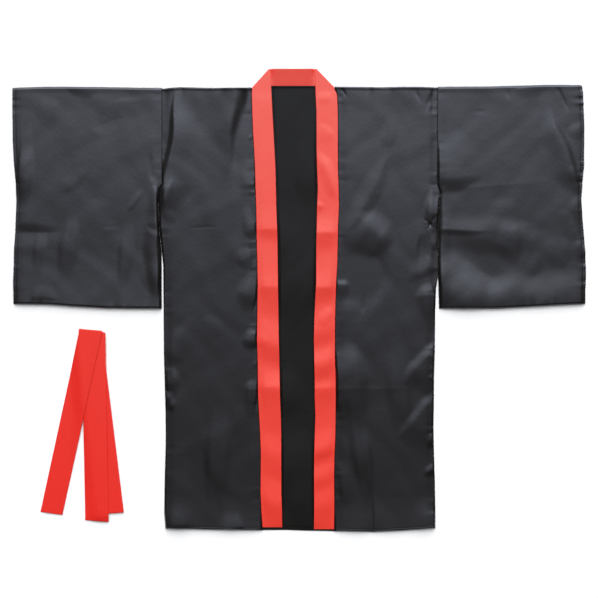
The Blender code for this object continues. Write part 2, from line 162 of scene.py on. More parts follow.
# Edges that run up the coat: (y, x)
BODY_LEFT = [
    (-520, -301.8), (-502, -302.9), (-479, -304.5), (-434, -303.9), (-389, -303.0), (-344, -301.7),
    (-298, -301.0), (-253, -301.6), (-208, -302.7), (-118, -305.2), (-27, -305.8), (80, -306.8),
    (110, -309.8), (165, -315.4), (225, -317.4), (252, -315.4), (262, -310.2), (485, -310.2),
]
BODY_RIGHT = [
    (-520, 308.4), (-479, 308.1), (-412, 307.0), (-344, 305.0), (-287, 303.8), (-231, 304.8),
    (-185, 304.9), (-118, 306.8), (-27, 307.6), (30, 309.8), (52, 313.6), (60, 313.9),
    (157, 313.8), (243, 319.2), (262, 312.9), (485, 313.6),
]
# Edges that run across it: (x, y)
HEM = [
    (-320, -514.4), (-279, -516.2), (-239, -516.6), (-198, -518.0), (-137, -518.8), (-96, -518.9),
    (-35, -518.5), (6, -519.9), (67, -521.0), (107, -521.4), (168, -522.8), (189, -522.0),
    (229, -520.0), (270, -517.2), (309, -514.2), (320, -513.6),
]
SHOULDERS = [
    (-320, 478.4), (-302, 478.9), (-281, 481.2), (-261, 482.4), (-241, 481.7), (-190, 480.6),
    (-107, 481.2), (80, 483.2), (125, 482.9), (187, 482.0), (227, 483.1), (268, 483.1),
    (288, 482.5), (314, 480.8),
]
BACK_TOP = [  # just short of the shoulders, and up to the seam behind the neck
    *[(x, y - 1) for x, y in SHOULDERS if x <= -190],
    (-104, 479.4), (-70, NECKLINE), (48, NECKLINE), (76, 481.4),
    *[(x, y - 1) for x, y in SHOULDERS if x >= 125],
]
COLLAR_LEFT_INNER = [
    (-524, -37.6), (-475, -38.4), (-432, -39.8), (-303, -40.1), (-260, -41.0), (-217, -42.8),
    (-131, -44.3), (-88, -45.6), (41, -47.4), (127, -48.4), (170, -49.5), (213, -51.2),
    (298, -53.1), (341, -55.4), (427, -60.0), (523.4, -65.0),
]
COLLAR_RIGHT_INNER = [
    (-524, 33.6), (-475, 34.3), (-389, 33.9), (-346, 34.3), (-303, 35.5), (-260, 37.0),
    (-217, 35.4), (-174, 35.3), (-88, 33.4), (-45, 34.5), (-2, 36.5), (41, 38.7),
    (127, 39.0), (213, 40.9), (255, 42.6), (298, 40.7), (341, 39.7), (427, 39.4),
    (470, 37.4), (523.4, 36.0),
]

# A ridge (or, with a rise below 0, a trough) from one point to another. left and right are how
# far it falls on the two sides of someone who walks along it, peak is how far along it is
# highest (0 to 1), sharp makes it a crease (0 to 1), and bow bends it to the left.
Fold = namedtuple("Fold", "x1 y1 x2 y2 rise left right peak sharp bow", defaults=(0.5, 0.0, 0.0))
BACK_FOLDS = [
    Fold(-20, 286, 60, 280, 2.2, 120, 70),
    Fold(-90, 150, 20, 100, 2.4, 90, 80, 0.45),
    Fold(-60, 62, 60, 24, 3.6, 110, 130),
    Fold(-90, -216, 20, -212, 3.0, 84, 60, 0.4),
    Fold(-90, -378, 60, -374, 4.0, 104, 110),
    Fold(-40, -468, 60, -456, 2.8, 70, 60),
]
TINY = 1e-6  # lets a fold's peak lie right at one of its ends
FULLNESS = 1.4  # above 1, a fold is already at its full height some way before its peak
EDGE = (0.0, 0.14, 0.5, 1.6)  # the first rows of a rounded cloth edge
HEM_DEPTH = 6.5  # of the narrow double hem, from its edge to its stitching
HEM_ROWS = (*EDGE, 3.2, 4.8, 5.7, 6.2, 6.7, 7.3, 8.2, 10.0)
STITCH_DIP, STITCH_BANK = 0.22, 0.7  # how far a row of stitches pulls the cloth in, and how wide


def along(table, places):
    """The second column of a table at places in its first, straight between rows."""
    rows = np.array(table)
    return np.interp(places, rows[:, 0], rows[:, 1])


def smooth(share):
    """A share from 0 to 1 that leaves 0 and reaches 1 softly."""
    share = np.clip(share, 0.0, 1.0)
    return share * share * (3.0 - 2.0 * share)


def relief(folds, x, y):
    """How far the folds raise or lower the cloth at points."""
    total = np.zeros_like(x)
    # soft folds wander a little, and creases run straight
    wander = 2.2 * np.sin(x / 17 + y / 41) + 2.6 * np.sin(y / 23 - x / 37)
    for fold in folds:
        dx, dy = fold.x2 - fold.x1, fold.y2 - fold.y1
        length = np.hypot(dx, dy)
        share = ((x - fold.x1) * dx + (y - fold.y1) * dy) / length**2
        within = np.clip(share, 0.0, 1.0)
        beside = ((y - fold.y1) * dx - (x - fold.x1) * dy) / length + (1.0 - fold.sharp) * wander
        beside = beside - fold.bow * (1.0 - (2.0 * within - 1.0) ** 2)
        from_start, from_end = within + TINY, 1.0 - within + TINY
        to_peak = np.minimum(from_start / (fold.peak + TINY), from_end / (1.0 - fold.peak + TINY))
        full = smooth(to_peak * FULLNESS)
        # a fold is half as wide at its ends
        width = np.where(beside > 0, fold.left, fold.right) * (0.5 + 0.5 * full)
        away = np.minimum(np.hypot(beside, (share - within) * length) / width, 1.0)
        crease, soft = (1.0 - away) ** 2, 0.5 * (1.0 + np.cos(pi * away))
        total += fold.rise * full * (fold.sharp * crease + (1.0 - fold.sharp) * soft)
    return total


def undulation(x, y, seed, height=0.3):
    """Broad shallow waves through the whole cloth, bent so that none repeats."""
    bent_x = x + 22 * np.sin(y / 67 + seed) + 9 * np.sin(y / 29 + 2 * seed)
    bent_y = y + 19 * np.sin(x / 53 + 3 * seed) + 8 * np.sin(x / 31 + seed)
    broad = np.sin(bent_x / 24 + seed) * np.sin(bent_y / 21 + 2 * seed)
    fine = np.sin(bent_x / 11 + 5 * seed) * np.sin(bent_y / 12 + seed)
    return height * (broad + 0.4 * fine)


def above_zero(lift, softness=0.7):
    """The lift where it is above 0, and nearly 0 below, with a soft landing."""
    return (lift + np.hypot(lift, softness)) / 2


def stations(length, cell, start=EDGE, end=EDGE):
    """Where rows of points lie along a length: close at its two ends, even between."""
    start, end = np.array(start), length - np.array(end)[::-1]
    even = np.linspace(start[-1], end[0], max(2, int(round((end[0] - start[-1]) / cell)) + 1))
    return np.concatenate([start[:-1], even, end[1:]])


def grid(mesh, across, up, place, flipped=False):
    """A grid of points in a bmesh; place(a, b) gives x, y, z for the points of two rulers."""
    weave = mesh.loops.layers.uv.get("weave") or mesh.loops.layers.uv.new("weave")
    cells = {"x_segments": len(across) - 1, "y_segments": len(up) - 1}
    made = bmesh.ops.create_grid(mesh, size=1.0, **cells)["verts"]
    ruled = np.array([vert.co.xy for vert in made])
    a = np.asarray(across)[np.rint((ruled[:, 0] + 1) / 2 * (len(across) - 1)).astype(int)]
    b = np.asarray(up)[np.rint((ruled[:, 1] + 1) / 2 * (len(up) - 1)).astype(int)]
    spots = np.column_stack(place(a, b))
    lies_at = {vert: (a_mm, b_mm) for vert, a_mm, b_mm in zip(made, a * MM, b * MM)}
    for vert, spot in zip(made, spots):
        vert.co = spot
    faces = {face for vert in made for face in vert.link_faces}
    for face in faces:
        for loop in face.loops:
            loop[weave].uv = lies_at[loop.vert]
    if flipped:
        bmesh.ops.reverse_faces(mesh, faces=list(faces))


def finish(name, mesh, material, replaced, welded=0.01):
    """Makes a bmesh in mm a piece in metres that rides with the coat and replaces solids."""
    bmesh.ops.remove_doubles(mesh, verts=mesh.verts, dist=welded)
    bmesh.ops.scale(mesh, vec=(MM, MM, MM), verts=mesh.verts)
    data = bpy.data.meshes.new(name)
    mesh.to_mesh(data)
    mesh.free()
    data.materials.append(material)
    data.shade_smooth()
    piece = bpy.data.objects.new(name, data)
    bpy.context.collection.objects.link(piece)
    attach(piece, "root")
    if replaced:
        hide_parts(*replaced)
    return piece


def rounded(depth, radius=WALL / 2):
    """How much of its thickness an edge has at a depth in from it: a half circle's."""
    return np.sqrt(np.clip(1.0 - (1.0 - np.clip(depth / radius, 0.0, 1.0)) ** 2, 0.0, 1.0))


def stitch_dip(from_edge):
    """How far a hem's row of stitches pulls the cloth in, at a distance from its edge."""
    return STITCH_DIP * np.exp(-(((from_edge - HEM_DEPTH) / STITCH_BANK) ** 2))


STREAK_WIDTH, STREAK_LENGTH = 3.0, 9.0  # bundles of floats
CRUMPLE_WIDTH, CRUMPLE_LENGTH = 30.0, 34.0
STREAK_RELIEF, CRUMPLE_RELIEF = 0.25, 0.8
STREAK_TONE = 0.14  # how much darker and lighter than the dye, as a share of it


def satin(name, hex_colour, roughness, anisotropy, gloss=0.5, tint="#ffffff", crumple=0.3, grain=1.0):
    """Polyester satin: long floats of bright yarn lie along the cloth and hide the cross yarns.

    The eye sees a broad highlight, drawn out across the floats, that every small slope
    brightens or dims; fine streaks follow the floats, where a yarn is thicker or slacker. Real
    floats are 0.1 mm apart, and the streaks stand for bundles of them, the finest that show.
    grain is how strong those streaks are, and crumple how strong the soft crumples.
    """
    material = bpy.data.materials.new(name)
    material.use_nodes = True
    tree = material.node_tree
    shader = tree.nodes["Principled BSDF"]
    shader.inputs["Roughness"].default_value = roughness
    shader.inputs["IOR"].default_value = 1.6
    shader.inputs["Anisotropic"].default_value = anisotropy
    shader.inputs["Specular IOR Level"].default_value = gloss
    shader.inputs["Specular Tint"].default_value = linear(tint)
    spread = node(tree, "ShaderNodeTangent", {"direction_type": "UV_MAP", "uv_map": "weave"})
    tree.links.new(spread.outputs[0], shader.inputs["Tangent"])
    cloth = node(tree, "ShaderNodeUVMap", {"uv_map": "weave"}).outputs[0]
    per_streak = (1 / (STREAK_WIDTH * MM), 1 / (STREAK_LENGTH * MM), 1.0)
    floats = node(tree, "ShaderNodeMapping", {"Scale": per_streak}, Vector=cloth)
    streaks = node(tree, "ShaderNodeTexNoise", {"Scale": 1.0, "Detail": 3.0}, Vector=floats.outputs[0])
    per_crumple = (1 / (CRUMPLE_WIDTH * MM), 1 / (CRUMPLE_LENGTH * MM), 1.0)
    slow = node(tree, "ShaderNodeMapping", {"Scale": per_crumple}, Vector=cloth)
    folding = {"Scale": 1.0, "Detail": 2.0, "Roughness": 0.45}
    crumples = node(tree, "ShaderNodeTexNoise", folding, Vector=slow.outputs[0])
    darker, lighter = 1 - STREAK_TONE * grain, 1 + STREAK_TONE * grain
    tones = {"From Min": 0.3, "From Max": 0.7, "To Min": darker, "To Max": lighter}
    tone = node(tree, "ShaderNodeMapRange", tones, Value=streaks.outputs[0])
    dye = {"operation": "SCALE", 0: linear(hex_colour)[:3]}
    dyed = node(tree, "ShaderNodeVectorMath", dye, Scale=tone.outputs[0])
    tree.links.new(dyed.outputs[0], shader.inputs["Base Color"])
    soft = node(
        tree, "ShaderNodeBump", {"Strength": crumple, "Distance": CRUMPLE_RELIEF * MM},
        Height=crumples.outputs[0],
    )
    fine = node(
        tree, "ShaderNodeBump", {"Strength": 0.7, "Distance": STREAK_RELIEF * MM * grain},
        Height=streaks.outputs[0], Normal=soft.outputs[0],
    )
    tree.links.new(fine.outputs[0], shader.inputs["Normal"])
    return material


# on the wrong side the cross yarns show, so it is duller and its highlight faint
black_wrong_side = satin("black_satin_wrong_side", "#181715", 0.42, 0.2, gloss=0.11, tint="#e6ecff")

# Rulers across the back: to the left band's free edge, the open strip, and on from the right band's
UNDER_LEFT, OPEN_STRIP, UNDER_RIGHT = 262.0, 84.0, 270.0
STRIP_END = UNDER_LEFT + OPEN_STRIP
BODY_WIDTH, BODY_LENGTH = STRIP_END + UNDER_RIGHT, 1002.0
STRIP_RISE, STRIP_BANK = 1.5, 7.0  # the open strip stands up beside the bands, within this distance
NECK_SEAM_RISE, NECK_SEAM_BANK = 1.1, 6.0  # and so does its seam with the collar
FLAT_HEM = 14.0  # above its foot the strip starts flat
JUST_BELOW_TOP = 480.0
STRIP_EDGE = (0.3, 1.0, 2.0, 3.4, 5.0)  # the first columns of the open strip, on both sides
HIDDEN_INSET, HIDDEN_COLUMNS = 12.0, 11  # the sparse columns under the fronts
across_back = np.concatenate(
    [
        EDGE,
        np.linspace(HIDDEN_INSET, UNDER_LEFT - HIDDEN_INSET, HIDDEN_COLUMNS),
        UNDER_LEFT + stations(OPEN_STRIP, 2.2, start=STRIP_EDGE, end=STRIP_EDGE),
        np.linspace(STRIP_END + HIDDEN_INSET, BODY_WIDTH - HIDDEN_INSET, HIDDEN_COLUMNS),
        BODY_WIDTH - np.array(EDGE)[::-1],
    ]
)
up_back = stations(BODY_LENGTH, 4.0, start=HEM_ROWS, end=(*EDGE, 3.0, 4.5, 6.0))


def back_spot(a, b, top):
    """Rulers: a runs across the back from its left side, b from its hem up."""

    def across(y):
        left, right = along(BODY_LEFT, y), along(BODY_RIGHT, y)
        inner_left, inner_right = along(COLLAR_LEFT_INNER, y), along(COLLAR_RIGHT_INNER, y)
        x = left + (inner_left - left) * np.clip(a / UNDER_LEFT, 0, 1)
        x = x + (inner_right - inner_left) * np.clip((a - UNDER_LEFT) / OPEN_STRIP, 0, 1)
        return x + (right - inner_right) * np.clip((a - STRIP_END) / UNDER_RIGHT, 0, 1)

    foot = along(HEM, across(np.zeros_like(a)))
    head = along(BACK_TOP, across(np.full_like(a, JUST_BELOW_TOP)))
    y = foot + b / BODY_LENGTH * (head - foot)
    x = across(y)
    from_top = BODY_LENGTH - b
    depth = np.minimum.reduce([a, BODY_WIDTH - a, b, from_top])
    if not top:
        return x, y, WALL / 2 * (1 - rounded(depth))
    beside = np.minimum(a - UNDER_LEFT, STRIP_END - a)
    stands = smooth(beside / STRIP_BANK) * smooth(b / FLAT_HEM)
    folds = STRIP_RISE + relief(BACK_FOLDS, x, y) + undulation(x, y, 3.0, 0.2)
    seam = NECK_SEAM_RISE * smooth(1 - from_top / NECK_SEAM_BANK) * smooth(beside / 2)
    return x, y, WALL / 2 * (1 + rounded(depth)) + stands * folds + seam - stitch_dip(b)


bm = bmesh.new()
grid(bm, across_back, up_back, lambda a, b: back_spot(a, b, True))
grid(bm, across_back, up_back, lambda a, b: back_spot(a, b, False), flipped=True)
back = finish("back_panel", bm, black_wrong_side, ["back"])

# ---------------------------------------------------------------- the fronts
# Two narrow panels of the same satin, right side up, lie on the back. Each is sewn to it at
# the shoulder and down the side, and to the collar along its inner edge, and the seams draw
# the cloth into tucks and small puckers. Packing has left level creases across the coat.

COLLAR_LEFT_OUTER = [
    (-524, -81.8), (-506, -82.8), (-475, -85.2), (-432, -87.0), (-346, -86.3), (-303, -87.8),
    (-217, -92.4), (-131, -93.6), (-88, -95.0), (41, -93.4), (127, -95.4), (213, -96.8),
    (255, -98.4), (298, -99.4), (341, -101.6), (384, -104.2), (427, -105.7), (485, -107.4),
]
COLLAR_RIGHT_OUTER = [
    (-524, 78.9), (-475, 80.0), (-389, 79.4), (-346, 80.5), (-303, 82.4), (-217, 83.1),
    (-174, 82.9), (-131, 81.2), (-45, 81.5), (41, 84.0), (84, 86.7), (170, 88.4),
    (213, 90.4), (255, 89.7), (298, 88.1), (427, 87.9), (462, 86.2), (470, 85.0), (476, 83.2),
    (485, 78.6),
]
FRONT_LIFT = 2.1  # air under a front
SEAM_FALL, FOLD_FALL = 24.0, 3.0  # how far from a seam the air and the folds are at full height
SHOULDER_REACH = 60.0  # how far down from the shoulder the cloth stands off more
TURNINGS_RISE, TURNINGS_WIDTH = 1.0, 9.0  # of the seam along the shoulder
HEM_HOLD, HEM_REACH = 0.3, 3.0  # the share of the lift at a hem's very edge, and where it is whole
FRONT_LEFT_FOLDS = [
    # beside the armhole: a ridge with a deep groove in it
    Fold(-272, 500, -313, 180, 6.0, 64, 14, 0.6, 0.1, 3),
    Fold(-304, 306, -380, -120, 5.8, 84, 14, 0.3, 0.1),
    Fold(-240, 236, -130, 240, 1.6, 150, 240, 0.7),
    Fold(-281, 282, -312, 212, 0.9, 17, 8, 0.6, 0.5),
    Fold(-306, 184, -280, 200, 0.5, 20, 24, 0.5, 0.2),
    # level crease
    Fold(-258, 163, -176, 167, -0.28, 6, 5, 0.6, 0.9),
    # from the neck down: a broad ridge that drops steeply on the collar's side
    Fold(-134, 530, -172, 262, 6.4, 27, 80, 0.08, 0.2),
    # tucks at the collar's seam, each from its free end
    Fold(-118, 366, -100, 374, 0.8, 6, 12, 1.0, 0.3),
    Fold(-140, 260, -97, 276, 0.9, 50, 36, 0.9),
    Fold(-130, 152, -94, 164, 2.1, 60, 26, 0.9, 0.2),
    Fold(-148, 92, -102, 104, 1.1, 30, 27, 0.6, 0.1),
    Fold(-148, 18, -94, 8, 2.6, 60, 40, 0.85, 0.15),
    Fold(-134, -88, -94, -96, 2.8, 44, 26, 0.9, 0.2),
    Fold(-108, -141, -94, -144, 0.6, 9, 10, 1.0),
    Fold(-130, -195, -92, -201, 2.6, 34, 72, 0.9, 0.2),
    # lower down
    Fold(-224, -52, -162, -62, 0.5, 26, 40),
    Fold(-304, -184, -264, -180, 2.3, 42, 44, 0.3),
    Fold(-304, -146, -236, -36, 1.2, 26, 40, 0.4),
    Fold(-306, -202, -280, -252, 2.0, 16, 24, 0.5, 0.3),
    Fold(-220, -340, -146, -344, 3.0, 116, 150),
    Fold(-350, -500, -226, -506, 3.0, 190, 30),
    Fold(-238, -286, -176, -500, -0.45, 20, 60, 0.5, 0.5),
    Fold(-96, -218, -168, -500, -0.8, 48, 46, 0.5, 0.1),
    Fold(-188, -514, -118, -512, 2.0, 44, 8, 0.5, 0.2),
    Fold(-306, -510, -244, -512, 1.4, 56, 8, 0.4),
    Fold(-460, -515, 40, -519, 3.6, 80, 8, 0.5, 0.6),
]
FRONT_RIGHT_FOLDS = [
    # the long slanting fold and the hollow that it ends in
    Fold(204, 336, 104, 154, 1.7, 25, 30, 0.5, 0.25, 8),
    Fold(118, 190, 216, 128, 3.2, 46, 106, 0.56, 0.1),
    Fold(66, 64, 218, 56, -3.8, 112, 84),
    Fold(40, 78, 210, 4, -1.6, 92, 100, 0.4),
    # at the shoulder
    Fold(258, 486, 277, 444, -0.9, 8, 9, 0.3, 0.7),
    Fold(302, 472, 281, 422, -0.6, 9, 9, 0.3, 0.5),
    Fold(303, 488, 299, 412, -0.9, 8, 7, 0.3, 0.6),
    Fold(94, 480, 107, 456, -1.3, 5, 6, 0.3, 0.6),
    Fold(180, 372, 220, 362, 0.5, 60, 26),
    # tucks at the collar's seam
    Fold(80, 34, 132, 36, 4.0, 34, 40, 0.1, 0.2),
    Fold(147, 34, 146, -38, -0.8, 9, 9, 0.5, 0.5),
    Fold(54, -178, 168, -162, 5.6, 80, 140, 0.42),
    Fold(98, -200, 112, -352, -0.6, 18, 20, 0.4),
    Fold(84, -350, 116, -474, 1.2, 24, 18),
    # the star below the armhole's foot, and tucks down the side seam
    Fold(278, 204, 336, 202, 4.2, 52, 70),
    Fold(262, 118, 300, 114, -1.5, 42, 60),
    Fold(294, 198, 296, 148, -1.6, 5, 5, 0.5, 0.9),
    Fold(281, 188, 308, 158, -1.7, 5, 5, 0.5, 0.9),
    Fold(309, 194, 287, 156, -1.5, 5, 5, 0.5, 0.9),
    Fold(280, 170, 310, 174, -0.8, 4, 4, 0.5, 0.9),
    Fold(294, 128, 314, 130, 1.2, 30, 14, 0.7),
    Fold(238, 44, 310, 88, 1.1, 32, 22, 0.8),
    Fold(258, -2, 312, 14, 3.2, 34, 90, 0.8, 0.1),
    Fold(290, -178, 308, -168, 0.9, 8, 8, 0.8),
    Fold(240, -194, 324, -84, 3.0, 26, 150, 0.5, 0.1),
    Fold(222, -320, 324, -196, 2.8, 25, 140, 0.5, 0.1),
    Fold(290, -334, 310, -300, 1.3, 14, 24, 0.6),
    Fold(278, -393, 306, -373, 1.8, 16, 20, 0.8, 0.3),
    Fold(240, -518, 380, -500, 4.0, 84, 10, 0.7),
    Fold(-60, -521, 460, -516, 3.6, 80, 8, 0.5, 0.6),
    # level crease, soft crests and upright press crease
    Fold(78, -198, 304, -199, 0.2, 9, 14, 0.2, 1.0),
    Fold(190, -205, 262, -200, 2.4, 150, 110),
    Fold(112, -352, 172, -344, 3.0, 104, 110),
    Fold(163, -402, 163, -532, -2.2, 10, 26, 0.85, 0.7),
]
PANEL_CELL = 2.4
SHOULDER_ROWS = (0.0, 0.14, 0.5, 1.2, 2.2, 4.0)
FRONT_LEFT_WIDTH, FRONT_RIGHT_WIDTH = 212.0, 226.0

# the right side: near black where it faces up, silvery where it slopes towards the bright panel
black_satin = satin("black_polyester_satin", "#120f0b", 0.3, 0.5, tint="#e6ecff")


def puckers(place, inset, seed, height=0.5, reach=11.0):
    """Small waves that a seam draws into the cloth beside it, in uneven bursts."""
    hurried = place + 9 * np.sin(place / 23 + seed) + 5 * np.sin(place / 9.7 + 3 * seed)
    burst = smooth(0.5 + np.sin(place / 29 + 2 * seed) + 0.7 * np.sin(place / 13.3 + seed))
    wide, tight = np.sin(hurried / 5.3), np.sin(hurried / 2.3 + seed)
    return height * burst * (wide * np.exp(-inset / reach) + 0.6 * tight * np.exp(-2 * inset / reach))


def shoulder_seam(from_edge):
    """A seam's hidden turnings make its edge stand up."""
    return TURNINGS_RISE * smooth(1 - from_edge / TURNINGS_WIDTH)


def more_at_shoulder(most, from_top):
    """What the air under the cloth is multiplied by: most at the shoulder, and 1 below."""
    return most - (most - 1.0) * smooth(from_top / SHOULDER_REACH)


def front_spot(a, b, top, left, right, folds, seed, width, length):
    """Rulers: a runs across a front from its left edge, b from its hem up."""
    share_x, share_y = a / width, b / length
    x = along(left, 0.0) + share_x * (along(right, 0.0) - along(left, 0.0))
    y = along(HEM, x) + share_y * (along(SHOULDERS, x) - along(HEM, x))
    x = along(left, y) + share_x * (along(right, y) - along(left, y))
    sides, from_top = np.minimum(a, width - a), length - b
    edge = np.minimum.reduce([a, width - a, b, from_top])
    free = HEM_HOLD + (1 - HEM_HOLD) * smooth(b / HEM_REACH)
    free = free * smooth(np.minimum(sides, from_top * 2) / FOLD_FALL)
    air = FRONT_LIFT * smooth(sides / SEAM_FALL) * more_at_shoulder(1.4, from_top)
    folded = free * (air + undulation(x, y, seed) + relief(folds, x, y))
    puckered = puckers(y, a, seed, 0.35) + puckers(y, width - a, seed + 1)
    puckered = puckered + puckers(x, from_top, seed + 2, 0.8)
    lift = folded + smooth(sides / 3) * puckered + shoulder_seam(from_top)
    # the seams at the sides and the shoulder hold the cloth down
    held = smooth(sides / 2) * smooth(from_top / 2.5 + 0.15)
    middle = PITCH + WALL / 2 + above_zero(lift) * held
    half = WALL / 2 * rounded(edge)
    if not top:
        return x, y, middle - half
    return x, y, middle + half - stitch_dip(b)


def make_front(name, left, right, folds, seed, width, replaced):
    length = BODY_LENGTH - 2
    across = stations(width, PANEL_CELL)
    up = stations(length, PANEL_CELL, start=HEM_ROWS, end=SHOULDER_ROWS)
    shape = (left, right, folds, seed, width, length)
    mesh = bmesh.new()
    grid(mesh, across, up, lambda a, b: front_spot(a, b, True, *shape))
    grid(mesh, across, up, lambda a, b: front_spot(a, b, False, *shape), flipped=True)
    return finish(name, mesh, black_satin, [replaced]), shape


front_left, front_left_shape = make_front(
    "front_left_panel", BODY_LEFT, [(y, x - GAP) for y, x in COLLAR_LEFT_OUTER],
    FRONT_LEFT_FOLDS, 1.0, FRONT_LEFT_WIDTH, "front_left",
)
front_right, front_right_shape = make_front(
    "front_right_panel", [(y, x + GAP) for y, x in COLLAR_RIGHT_OUTER], BODY_RIGHT,
    FRONT_RIGHT_FOLDS, 5.0, FRONT_RIGHT_WIDTH, "front_right",
)

# ---------------------------------------------------------------- the sleeves
# Each is one rectangle folded along the top and sewn along the bottom into a wide flat tube.
# It is open at the cuff, which has a narrow stitched hem, and sewn to the body down to the
# armhole's foot; below that its inner edge is closed and isn't sewn to the body.

ARMHOLE_FOOT = 262.0
CUFF_LEFT = [
    (-22, -644.0), (45, -645.5), (68, -644.4), (113, -643.7), (158, -640.6), (203, -638.9),
    (226, -638.0), (249, -639.0), (271, -639.8), (294, -642.3), (317, -644.2), (362, -646.4),
    (430, -647.3), (483, -647.0),
]
SLEEVE_LEFT_INNER = [
    (-22, -310.0), (110, -310.4), (165, -315.8), (225, -317.8), (252, -315.6), (262, -310.3),
    (483, -310.3),
]
SLEEVE_RIGHT_INNER = [
    (-22, 316.4), (52, 314.4), (60, 314.3), (157, 314.2), (243, 319.6), (262, 313.0), (488, 313.7),
]
CUFF_RIGHT = [
    (-22, 645.6), (27, 646.4), (50, 647.8), (72, 647.7), (95, 646.9), (140, 644.1),
    (185, 640.0), (231, 637.4), (253, 639.3), (276, 640.5), (298, 643.5), (389, 644.3),
    (434, 642.7), (470, 641.2), (482, 639.6), (488, 637.0),
]
SLEEVE_LEFT_TOP = [
    (-650, 480.5), (-627, 481.2), (-607, 482.0), (-566, 483.2), (-526, 483.3), (-424, 482.3),
    (-383, 481.4), (-300, 480.5),
]
SLEEVE_LEFT_BOTTOM = [
    (-650, -8.4), (-578, -9.2), (-557, -9.9), (-517, -13.2), (-476, -15.7), (-435, -18.0),
    (-395, -18.4), (-300, -19.0),
]
SLEEVE_RIGHT_TOP = [
    (300, 483.2), (370, 483.6), (431, 483.9), (471, 485.2), (512, 486.1), (553, 487.4),
    (594, 487.5), (634, 487.0), (650, 486.6),
]
SLEEVE_RIGHT_BOTTOM = [
    (300, -18.2), (365, -18.8), (447, -18.5), (487, -16.2), (528, -13.9), (569, -11.4),
    (609, -9.4), (650, -7.8),
]
SLEEVE_LIFT = 2.0  # air in a sleeve
CUFF_AIR, CUFF_FOLDS, CUFF_REACH = 0.55, 0.5, 12.0  # the share of the air and folds at a cuff
TOP_RISE, TOP_REACH = 0.5, 16.0  # the cloth stands up before it turns over the top fold
SLEEVE_LEFT_FOLDS = [
    # the inner edge, which stands up before it turns down, and the cuff
    Fold(-320, 282, -320, -40, 4.2, 11, 34, 0.35),
    Fold(-604, 404, -626, 272, 0.8, 15, 28),
    Fold(-646, 283, -594, 278, 2.8, 84, 66, 0.4),
    # level crease
    Fold(-700, 150, -526, 156, -2.2, 24, 44, 0.3, 0.7),
    # upper half
    Fold(-600, 430, -532, 438, 0.45, 26, 46),
    Fold(-474, 386, -388, 415, -0.9, 52, 26, 0.5, 0.4),
    Fold(-430, 440, -340, 452, 0.4, 14, 40),
    Fold(-532, 486, -448, 480, 0.8, 7, 24),
    # beside the armhole
    Fold(-338, 340, -329, 264, -0.9, 14, 12, 0.6, 0.3),
    Fold(-348, 170, -314, 152, -0.7, 14, 12, 0.8, 0.3),
    # middle
    Fold(-394, 198, -348, 254, 0.5, 14, 11, 0.5, 0.2),
    Fold(-544, 242, -470, 300, 0.6, 30, 22),
    Fold(-486, 208, -412, 205, 0.3, 26, 52),
    Fold(-450, 160, -402, 158, 0.2, 9, 20, 0.5, 0.4),
    # hollows over the bottom seam's crest
    Fold(-604, 116, -566, 112, 1.1, 60, 66),
    Fold(-548, 128, -490, 120, 1.9, 74, 80),
    Fold(-412, 104, -368, 100, 1.5, 80, 78),
    Fold(-362, 56, -312, 50, 1.5, 60, 46, 0.9),
    Fold(-900, -30, -60, -30, 4.8, 150, 40, 0.5, 0.7),
    Fold(-610, 8, -540, 6, 0.9, 30, 12),
]
SLEEVE_RIGHT_FOLDS = [
    # beside the armhole, and the inner edge below it
    Fold(298, 281, 424, 286, 3.5, 116, 38, 0.2),
    Fold(322, 258, 321, -40, 1.4, 26, 6),
    # level creases
    Fold(338, 254, 570, 266, 0.4, 36, 32, 0.25, 0.9),
    Fold(312, 159, 440, 157, 1.6, 46, 15, 0.1, 0.7),
    # the wide hollow and its crests
    Fold(330, 160, 560, 150, 1.4, 40, 60),
    Fold(322, 146, 502, 48, -2.7, 60, 62, 0.55, 0.0, -12),
    Fold(440, 124, 510, 122, 1.4, 80, 44),
    Fold(510, 52, 548, 116, 0.5, 20, 26),
    Fold(544, 124, 626, 114, 0.8, 34, 54),
    Fold(200, -4, 900, 0, 4.1, 76, 110),
    Fold(266, 94, 430, -40, 4.4, 90, 60),
    # at the cuff
    Fold(560, 440, 636, 232, 3.0, 22, 44),
    Fold(600, 383, 646, 387, 1.0, 24, 28, 0.8),
    Fold(600, 285, 642, 293, 1.2, 22, 52, 0.8),
    Fold(606, 198, 643, 213, 1.3, 30, 50, 0.9),
    Fold(614, 123, 648, 129, 1.1, 24, 44, 0.9),
    Fold(582, 193, 614, 191, 0.3, 16, 28),
    # middle and top
    Fold(504, 157, 572, 158, -0.5, 30, 24, 0.5, 0.3),
    Fold(430, 213, 506, 208, 0.5, 26, 48),
    Fold(392, 431, 428, 428, -0.2, 7, 10),
    Fold(466, 490, 478, 450, -1.0, 6, 6, 0.3, 0.5),
    Fold(576, 492, 614, 422, -1.2, 7, 9, 0.35, 0.6),
    Fold(480, 478, 562, 481, 0.8, 8, 28),
]
TUBE = 2 * WALL + 2 * GAP  # thickness of the flat tube where nothing parts its layers
SLEEVE_DEPTH, SLEEVE_LENGTH = 500.0, 334.0
FOLD_RADIUS, SEAM_RADIUS = 3.0, 1.6  # how far in the tube rounds off at its top fold and at its seams
SLEEVE_CLOTH = 0.9  # one layer of the tube


